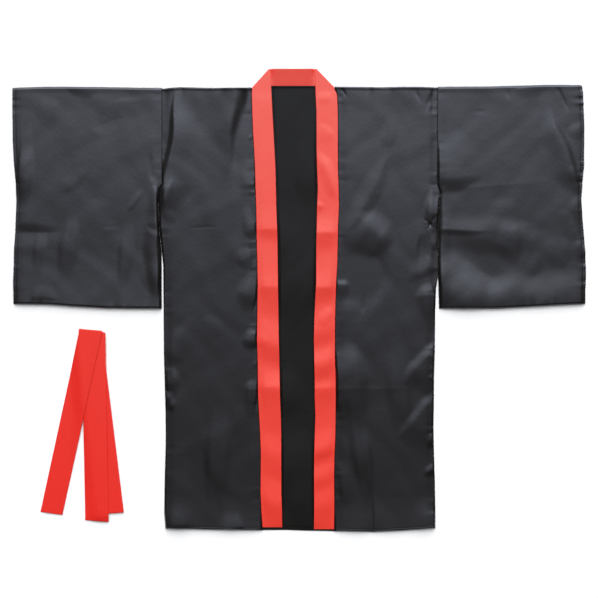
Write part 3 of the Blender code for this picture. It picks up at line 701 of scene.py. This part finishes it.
def sleeve_spot(a, b, left, right, bottom, top, folds, seed, cuff_side):
    """Rulers: a runs from the armhole to the cuff, b round the tube from seam to seam.

    cuff_side is 1 where the cuff is on the right, and -1 where it is on the left.
    """
    turn = pi * TUBE / 2
    on_top = b <= SLEEVE_DEPTH
    rise = np.where(on_top, b, np.clip(SLEEVE_DEPTH * 2 + turn - b, 0.0, SLEEVE_DEPTH))
    angle = np.clip((b - SLEEVE_DEPTH) / (TUBE / 2), 0.0, pi)
    share_x = a / SLEEVE_LENGTH if cuff_side > 0 else 1 - a / SLEEVE_LENGTH
    x = along(left, 230.0) + share_x * (along(right, 230.0) - along(left, 230.0))
    low, high = along(bottom, x), along(top, x) - TUBE / 2
    y = low + rise / SLEEVE_DEPTH * (high - low)
    x = along(left, y) + share_x * (along(right, y) - along(left, y))
    from_top, from_cuff = SLEEVE_DEPTH - rise, SLEEVE_LENGTH - a
    from_seam = np.minimum(a, rise)
    # the inner edge below the armhole and the bottom seam roll off sooner than the armhole seam
    rolled = np.minimum(a * (1 + 2 * smooth((ARMHOLE_FOOT - y) / 20)), rise * 8)
    # air between the layers: none at the seams, and less at the cuff
    air = SLEEVE_LIFT * smooth(rolled / SEAM_FALL) * more_at_shoulder(1.25, from_top)
    air = air * (CUFF_AIR + (1 - CUFF_AIR) * smooth(from_cuff / SEAM_FALL))
    free = smooth(np.minimum.reduce([a, rise * 2.4, from_top * 2]) / FOLD_FALL)
    free = free * (CUFF_FOLDS + (1 - CUFF_FOLDS) * smooth(from_cuff / CUFF_REACH))
    folded = free * (air + undulation(x, y, seed) + relief(folds, x, y))
    # the right cuff's hem is drawn in more than the left one's
    puckered = puckers(y, from_cuff, seed + 1, 0.75 + 0.35 * cuff_side, 9.0)
    puckered = puckered + puckers(y, a, seed, 0.2) + puckers(x, rise, seed + 3, 0.6)
    lift = above_zero(folded + smooth(from_seam / 3) * puckered) * smooth(from_seam / 2)
    lift = lift + TOP_RISE * smooth(1 - from_top / TOP_REACH)
    lift = lift * smooth(from_top / FOLD_RADIUS) - stitch_dip(from_cuff)
    # the inner edge is closed below the armhole, and so is the bottom seam
    closed = np.where(y < ARMHOLE_FOOT, rounded(a, SEAM_RADIUS), 1.0) * rounded(rise, SEAM_RADIUS)
    z = np.where(on_top, TUBE / 2 * (1 + closed) + lift, TUBE / 2 * (1 - closed))
    z = np.where((angle > 0) & (angle < pi), TUBE / 2 * (1 + np.cos(angle)), z)
    return x, y + np.sin(angle) * TUBE / 2, z


def make_sleeve(name, shape, replaced):
    over = stations(SLEEVE_DEPTH, PANEL_CELL, end=(0.0, 0.7, 1.6, 3.0, 4.6))
    round_fold = SLEEVE_DEPTH + np.linspace(0, pi * TUBE / 2, 7)[1:]
    # the hidden underside has sparse rows
    under = stations(SLEEVE_DEPTH, 20.0, start=(*EDGE, 4.0), end=(0.0, 4.0))
    under = round_fold[-1] + SLEEVE_DEPTH - under[::-1][1:]
    up = np.concatenate([over, round_fold, under])
    across = stations(SLEEVE_LENGTH, PANEL_CELL, end=HEM_ROWS)
    cuff_side = shape[-1]
    mesh = bmesh.new()
    grid(mesh, across, up, lambda a, b: sleeve_spot(a, b, *shape), flipped=cuff_side < 0)
    piece = finish(name, mesh, black_satin, [replaced])
    wall = piece.modifiers.new("cloth", "SOLIDIFY")
    wall.thickness = SLEEVE_CLOTH * MM
    wall.offset = -1


sleeve_left_shape = (
    CUFF_LEFT, SLEEVE_LEFT_INNER, SLEEVE_LEFT_BOTTOM, SLEEVE_LEFT_TOP, SLEEVE_LEFT_FOLDS, 11.0, -1,
)
sleeve_right_shape = (
    SLEEVE_RIGHT_INNER, CUFF_RIGHT, SLEEVE_RIGHT_BOTTOM, SLEEVE_RIGHT_TOP, SLEEVE_RIGHT_FOLDS, 17.0, 1,
)
make_sleeve("sleeve_left_tube", sleeve_left_shape, "sleeve_left")
make_sleeve("sleeve_right_tube", sleeve_right_shape, "sleeve_right")

# ---------------------------------------------------------------- the hem stitching
# Black polyester thread in lockstitches 3 mm long, sunk in the satin, holds the narrow hems
# of the body and of the cuffs.

STITCH_PITCH, STITCH_LENGTH, THREAD = 3.0, 2.3, 0.32
ROW_START, ROW_END = 4.0, 5.0  # how far from the seams a row starts and ends
PLY_SHOWN = 0.6  # the plies are 0.15 mm, drawn coarser so that they show


def row_of_stitches(mesh, spot, places):
    """Short lengths of thread between pairs of points that spot(places) gives."""
    starts = np.column_stack(spot(places))
    ends = np.column_stack(spot(places + STITCH_LENGTH))
    for start, end in zip(starts, ends):
        run = Vector(end) - Vector(start)
        middle = Matrix.Translation((Vector(start) + Vector(end)) / 2)
        turned = middle @ run.to_track_quat("Z", "Y").to_matrix().to_4x4()
        bmesh.ops.create_cone(
            mesh, cap_ends=True, segments=6, radius1=THREAD / 2, radius2=THREAD / 2,
            depth=run.length, matrix=turned,
        )


def thread_material():
    """Spun polyester thread: matt, with a twist that shows as fine slanting lines."""
    material = bpy.data.materials.new("black_polyester_thread")
    material.use_nodes = True
    tree = material.node_tree
    shader = tree.nodes["Principled BSDF"]
    shader.inputs["Roughness"].default_value = 0.55
    shader.inputs["Specular IOR Level"].default_value = 0.3
    placed = node(tree, "ShaderNodeTexCoord")
    plies = {"Scale": 1 / (PLY_SHOWN * MM), "Distortion": 0.5}
    twist = node(tree, "ShaderNodeTexWave", plies, Vector=placed.outputs["Object"])
    tone = node(tree, "ShaderNodeMapRange", {"To Min": 0.7, "To Max": 1.3}, Value=twist.outputs["Fac"])
    dye = {"operation": "SCALE", 0: linear("#17171a")[:3]}
    dyed = node(tree, "ShaderNodeVectorMath", dye, Scale=tone.outputs[0])
    tree.links.new(dyed.outputs[0], shader.inputs["Base Color"])
    return material


bm = bmesh.new()
fronts = ((front_left_shape, FRONT_LEFT_WIDTH), (front_right_shape, FRONT_RIGHT_WIDTH))
for shape, width in fronts:
    places = np.arange(ROW_START, width - ROW_END, STITCH_PITCH)
    row_of_stitches(bm, lambda a: front_spot(a, np.full_like(a, HEM_DEPTH), True, *shape), places)
places = np.arange(UNDER_LEFT + 1, STRIP_END - STITCH_PITCH, STITCH_PITCH)
row_of_stitches(bm, lambda a: back_spot(a, np.full_like(a, HEM_DEPTH), True), places)
STITCHED_AT = SLEEVE_LENGTH - HEM_DEPTH
for shape in (sleeve_left_shape, sleeve_right_shape):
    places = np.arange(ROW_START, SLEEVE_DEPTH - ROW_END, STITCH_PITCH)
    row_of_stitches(bm, lambda b: sleeve_spot(np.full_like(b, STITCHED_AT), b, *shape), places)
finish("hem_stitches", bm, thread_material(), [], welded=0.0001)

# ---------------------------------------------------------------- the collar
# One long strip of red satin, folded lengthwise and sewn on from hem to hem round the neck.
# Laid flat, it turns under at two slanting folds, so its inner side shows behind the neck.

COLLAR_WIDTH, BAND_LENGTH = 48.0, 1000.0
COLLAR_END_LEFT, COLLAR_END_RIGHT = -512.5, -516.8
NECK_TOP = 524.0
# where the bands stand off the back: (y, height); the packing creases make sharp crests
BAND_LEFT_WAVES = [
    (-512, 0.1), (-456, 4.0), (-402, 1.2), (-348, 3.2), (-300, 0.6), (-196, 3.6), (-142, 0.6),
    (-98, 4.2), (-36, 0.5), (31, 3.0), (132, 1.0), (161, 1.8), (370, 0.3), (480, 0.2),
]
BAND_RIGHT_WAVES = [
    (-516, 0.0), (-462, 3.4), (-424, 1.6), (-398, 3.6), (-362, 0.8), (-337, 4.0), (-285, 0.1),
    (-255, 0.3), (-198, 2.8), (-180, 1.8), (-142, 4.8), (-103, 1.0), (-68, 3.4), (-8, 1.0), (29, 3.0),
    (108, 0.3), (153, 2.0), (200, 0.4), (480, 0.2),
]
WAVE_ROUNDING, WAVE_STEPS = 10.0, 7  # how far a wave's crest and trough are rounded off
WAVE_SLANT = 0.3  # the waves run a little upwards, across a band
BAND_FOLDS = [
    # the level packing creases
    Fold(-130, 161, -10, 160, 1.6, 60, 28, 0.5, 0.9),
    Fold(-130, 31, -10, 30, 1.6, 50, 50, 0.5, 0.9),
    Fold(-130, -197, -10, -196, 1.6, 44, 60, 0.5, 0.9),
    Fold(0, 154, 120, 153, 1.6, 40, 40, 0.5, 0.9),
    Fold(0, 29, 120, 29, 1.6, 50, 36, 0.5, 0.9),
    Fold(0, -198, 120, -198, 1.2, 30, 40, 0.5, 0.9),
    # slanting folds and small tucks
    Fold(34, 344, 96, 218, 1.8, 26, 26, 0.5, 0.2),
    Fold(40, 395, 88, 372, 0.7, 18, 34),
    Fold(36, 474, 84, 466, 1.2, 14, 34),
    Fold(36, 222, 62, 214, 1.0, 12, 16, 0.2),
    Fold(-100, -98, -66, -92, 0.7, 34, 16, 0.2),
    Fold(38, -52, 84, -20, 0.8, 18, 18),
]
CORNER_LEFT = (-105.8, NECKLINE - 4.4, -67.0, NECK_TOP - WALL)
CORNER_RIGHT = (80.4, NECKLINE - 4.4, 38.6, NECK_TOP - WALL)
COLLAR_BAND, COLLAR_NECK = PITCH + WALL / 2, WALL / 2  # heights of the strip's middle
NECK_TILT, NECK_COLUMNS = 4.6, 42  # how far the neck's upper fold stands above its seam
SEWN_HOLD = 0.45  # how much of the waves is left at a band's sewn edge
FLAT_AT_FOLD, FLAT_AT_HEM, BANDS_FOOT = 30.0, 12.0, -517.0  # where the bands' waves come up
NECK_BANK = 14.0  # and where the neck's tilt does
CORNER_SHARE = 0.015  # of a band's length, over which it turns into its corner
CORNER_SLANT = 0.7  # how far the slanting folds look sideways, and up the coat

# the same satin dyed red, finer in the eye because its streaks show less on the brighter dye
red_satin = satin("red_polyester_satin", "#e4382b", 0.3, 0.4, gloss=0.6, tint="#d8f4ea", grain=0.3)
# a row across a strip of cloth: its two ends, the level of its middle, where its upper face looks
X1, Y1, X2, Y2, LEVEL, LOOK_X, LOOK_Y, LOOK_Z = range(8)
ROW_PITCH, FIRST_ROWS = 3.6, (0.0, 1.2, 3.6)


def band_rows(outer, inner, end, corner, sewn_gap):
    """Rows from a hem end up to the slanting fold."""
    share = stations(BAND_LENGTH, ROW_PITCH, end=FIRST_ROWS) / BAND_LENGTH
    corner_x1, corner_y1, corner_x2, corner_y2 = corner
    y1, y2 = end + (corner_y1 - end) * share, end + (corner_y2 - end) * share
    meet = smooth((share - 1.0 + CORNER_SHARE) / CORNER_SHARE)
    x1 = along(outer, y1) * (1 - meet) + corner_x1 * meet
    x2 = along(inner, y2) * (1 - meet) + corner_x2 * meet
    level, none = np.full_like(share, COLLAR_BAND), np.zeros_like(share)
    return np.column_stack([x1 + sewn_gap, y1, x2, y2, level, none, none, none + 1.0])


def fold_rows(row, towards_x, steps=7):
    """Rows round a slanting fold, from a band's height down to the neck's."""
    angle = np.linspace(0, pi, steps + 2)[1:-1]
    radius = (COLLAR_BAND - COLLAR_NECK) / 2
    rows = np.tile(row, (steps, 1))
    rows[:, LOOK_X] = np.sin(angle) * CORNER_SLANT * towards_x
    rows[:, LOOK_Y] = np.sin(angle) * CORNER_SLANT
    rows[:, LOOK_Z] = np.cos(angle)
    for x, y in ((X1, Y1), (X2, Y2)):
        rows[:, x] += rows[:, LOOK_X] * radius
        rows[:, y] += rows[:, LOOK_Y] * radius
    rows[:, LEVEL] = COLLAR_NECK + radius * (1 + np.cos(angle))
    return rows


def strip(name, rows, width, thickness, height_at, material, replaced):
    """A folded strip of cloth, rounded at its edges and ends, that follows rows across it."""
    middles = np.column_stack(
        [(rows[:, X1] + rows[:, X2]) / 2, (rows[:, Y1] + rows[:, Y2]) / 2, rows[:, LEVEL] * PITCH]
    )
    run = np.concatenate([[0.0], np.cumsum(np.linalg.norm(np.diff(middles, axis=0), axis=1))])

    def spot(a, b, side):
        row = rows[np.searchsorted(run, b)]
        share = a / width
        x = row[:, X1] + (row[:, X2] - row[:, X1]) * share
        y = row[:, Y1] + (row[:, Y2] - row[:, Y1]) * share
        z = height_at(row, x, y, share)
        depth = np.minimum.reduce([a, width - a, b, run[-1] - b])
        half = side * thickness / 2 * rounded(depth, thickness / 2)
        return x + half * row[:, LOOK_X], y + half * row[:, LOOK_Y], z + half * row[:, LOOK_Z]

    mesh = bmesh.new()
    across = stations(width, 2.6)
    grid(mesh, across, run, lambda a, b: spot(a, b, 1), flipped=True)
    grid(mesh, across, run, lambda a, b: spot(a, b, -1))
    return finish(name, mesh, material, replaced)


left_rows = band_rows(COLLAR_LEFT_OUTER, COLLAR_LEFT_INNER, COLLAR_END_LEFT, CORNER_LEFT, GAP / 2)
right_rows = band_rows(COLLAR_RIGHT_OUTER, COLLAR_RIGHT_INNER, COLLAR_END_RIGHT, CORNER_RIGHT, -GAP / 2)
across_neck = np.linspace(0, 1, NECK_COLUMNS)
arch = smooth(np.minimum(across_neck, 1 - across_neck) * 6)
neck_rows = np.zeros((NECK_COLUMNS, 8))
for x in (X1, X2):
    neck_rows[:, x] = CORNER_LEFT[x] + (CORNER_RIGHT[x] - CORNER_LEFT[x]) * across_neck
neck_rows[:, Y1] = CORNER_LEFT[Y1] + (NECKLINE + GAP / 2 - CORNER_LEFT[Y1]) * arch
neck_rows[:, Y2] = CORNER_LEFT[Y2]
neck_rows[:, LEVEL], neck_rows[:, LOOK_Z] = COLLAR_NECK, -1.0
turned_left, turned_right = fold_rows(left_rows[-1], -1), fold_rows(right_rows[-1], 1)
collar_rows = np.vstack([left_rows, turned_left, neck_rows, turned_right[::-1], right_rows[::-1]])


def collar_height(row, x, y, share):
    """The bands ride on their waves; behind the neck the strip slopes up to its fold."""
    level = row[:, LEVEL]
    on_band = smooth((level - COLLAR_NECK) / (COLLAR_BAND - COLLAR_NECK) * 2 - 1)
    slanted = y + WAVE_SLANT * (share - 0.5) * COLLAR_WIDTH
    steps = np.linspace(-WAVE_ROUNDING, WAVE_ROUNDING, WAVE_STEPS)
    left_waves = sum(along(BAND_LEFT_WAVES, slanted + step) for step in steps) / WAVE_STEPS
    right_waves = sum(along(BAND_RIGHT_WAVES, slanted + step) for step in steps) / WAVE_STEPS
    waves = np.where(x < -10, left_waves, right_waves)
    waves = above_zero(waves + relief(BAND_FOLDS, x, y) + undulation(x, y, 7.0, 0.12))
    # the bands lie flat at their hem ends and under the slanting folds
    waves = waves * smooth((NECKLINE - 8 - y) / FLAT_AT_FOLD) * smooth((y - BANDS_FOOT) / FLAT_AT_HEM)
    waves = waves * (SEWN_HOLD + (1 - SEWN_HOLD) * smooth(share * 2.5))
    tilt = NECK_TILT * np.clip((y - NECKLINE) / (NECK_TOP - NECKLINE), 0, 1)
    tilt = tilt * smooth((x - CORNER_LEFT[X2]) / NECK_BANK) * smooth((CORNER_RIGHT[X2] - x) / NECK_BANK)
    return level + on_band * waves + (1 - on_band) * tilt


collar = strip("collar_strip", collar_rows, COLLAR_WIDTH, WALL, collar_height, red_satin, ["collar"])

# ---------------------------------------------------------------- the belt
# One long strip of red satin, sewn as a flat tube, folded in four and fanned out: a loop of
# two layers below, the middle end on it, and the left end on top of both.

BELT_WALL = 1.6  # two layers with their seam's turnings inside, pressed
BELT_PITCH = BELT_WALL + GAP
# Corners of its stretches: top left, top right, foot right, foot left
BELT_END_LEFT = [(-495.0, -64.7), (-443.2, -69.4), (-534.7, -484.8), (-584.5, -477.5)]
BELT_END_MIDDLE = [(-490.6, -66.8), (-436.8, -71.4), (-429.6, -500.1), (-483.2, -496.3)]
BELT_LOOP = [(-498.0, -66.5), (-446.1, -71.0), (-395.9, -477.5), (-448.5, -481.0)]
BELT_WIDTH, STRETCH_LENGTH = 52.0, 420.0
BELT_DROP = 32.0  # how far an upper stretch takes to come down beside the one under it
BELT_SET_BACK = 2.0  # how far the loop's fold into the middle end lies inside the outer one
BELT_CROWN = 0.5  # how far the middle of an end's width stands up

# the belt's satin is a little deeper red, and pressed flat, so its highlight is even and broad
belt_satin = satin(
    "red_polyester_satin_belt", "#e0251d", 0.42, 0.3,
    gloss=0.42, tint="#fff3df", crumple=0.2, grain=0.3,
)


def cover(corners, x, y):
    """1 over a stretch of the belt, going down to 0 beside it."""
    (x1, y1), (x2, y2), (x3, y3), (x4, y4) = corners

    def outside(ax, ay, bx, by):
        return ((by - ay) * (x - ax) - (bx - ax) * (y - ay)) / np.hypot(bx - ax, by - ay)

    beside = np.maximum(np.maximum(-outside(x4, y4, x1, y1), outside(x3, y3, x2, y2)), 0.0)
    below = np.maximum(outside(x4, y4, x3, y3), 0.0)
    return 1.0 - smooth((np.hypot(beside, below) - BELT_PITCH) / BELT_DROP)


def belt_rows(corners, level, downwards, face_up, set_back=0.0):
    """Rows of one stretch, from its foot up or from its top down."""
    (x1, y1), (x2, y2), (x3, y3), (x4, y4) = corners
    share = stations(STRETCH_LENGTH, ROW_PITCH, start=FIRST_ROWS) / STRETCH_LENGTH
    share = share if downwards else share[::-1]
    left = np.column_stack([x1 + (x4 - x1) * share, y1 - set_back + (y4 - y1 + set_back) * share])
    right = np.column_stack([x2 + (x3 - x2) * share, y2 - set_back + (y3 - y2 + set_back) * share])
    level, none = np.full_like(share, level), np.zeros_like(share)
    return np.column_stack([left, right, level, none, none, none + face_up])


def belt_height(row, x, y, share):
    """Levels: 0 and 1 are the loop's layers, 2 the middle end and 3 the left end."""
    level = row[:, LEVEL]
    on_loop, on_middle = cover(BELT_LOOP, x, y), cover(BELT_END_MIDDLE, x, y)
    # how many layers lie below: in the loop, in the middle end, and in the left end
    below = np.minimum(level, 1)
    below_middle = 2 * on_loop * np.minimum(level - 1, 1) + 2 - np.minimum(level, 2)
    below = np.where(level > 1, below_middle, below)
    below = np.where(level > 2, 2 * on_loop + on_middle * (level - 2), below)
    crown = BELT_CROWN * smooth(np.minimum(share, 1 - share) * 3.5)
    rippled = crown + above_zero(undulation(x, y, 11.0, 0.1), 0.1)
    return BELT_PITCH * below + BELT_WALL / 2 + np.where(level > 1.5, rippled, 0.0)


def turn_rows(before, after, outwards, bulge, steps):
    """Rows round a fold between two stretches; outwards is where the upper face looks midway."""
    angle = np.linspace(0, pi, steps + 2)[1:-1]
    rows = before + (after - before) * ((1 - np.cos(angle)) / 2)[:, None]
    for y in (Y1, Y2):
        rows[:, y] += np.sin(angle) * bulge
    rows[:, LOOK_Y], rows[:, LOOK_Z] = np.sin(angle) * outwards, np.cos(angle) * before[LOOK_Z]
    return rows


upper_end = belt_rows(BELT_END_LEFT, 3, False, 1)
loop_below = belt_rows(BELT_LOOP, 0, True, -1)
loop_above = belt_rows(BELT_LOOP, 1, False, 1, BELT_SET_BACK)
middle_end = belt_rows(BELT_END_MIDDLE, 2, True, -1, BELT_SET_BACK)
belt_path = np.vstack(
    [
        upper_end, turn_rows(upper_end[-1], loop_below[0], 1, 1.2, 8), loop_below,
        turn_rows(loop_below[-1], loop_above[0], -1, -0.9, 6), loop_above,
        turn_rows(loop_above[-1], middle_end[0], -1, 0.9, 6), middle_end,
    ]
)
belt = strip(
    "belt_strip", belt_path, BELT_WIDTH, BELT_WALL, belt_height, belt_satin,
    ["belt_end_left", "belt_end_middle", "belt_loop"],
)
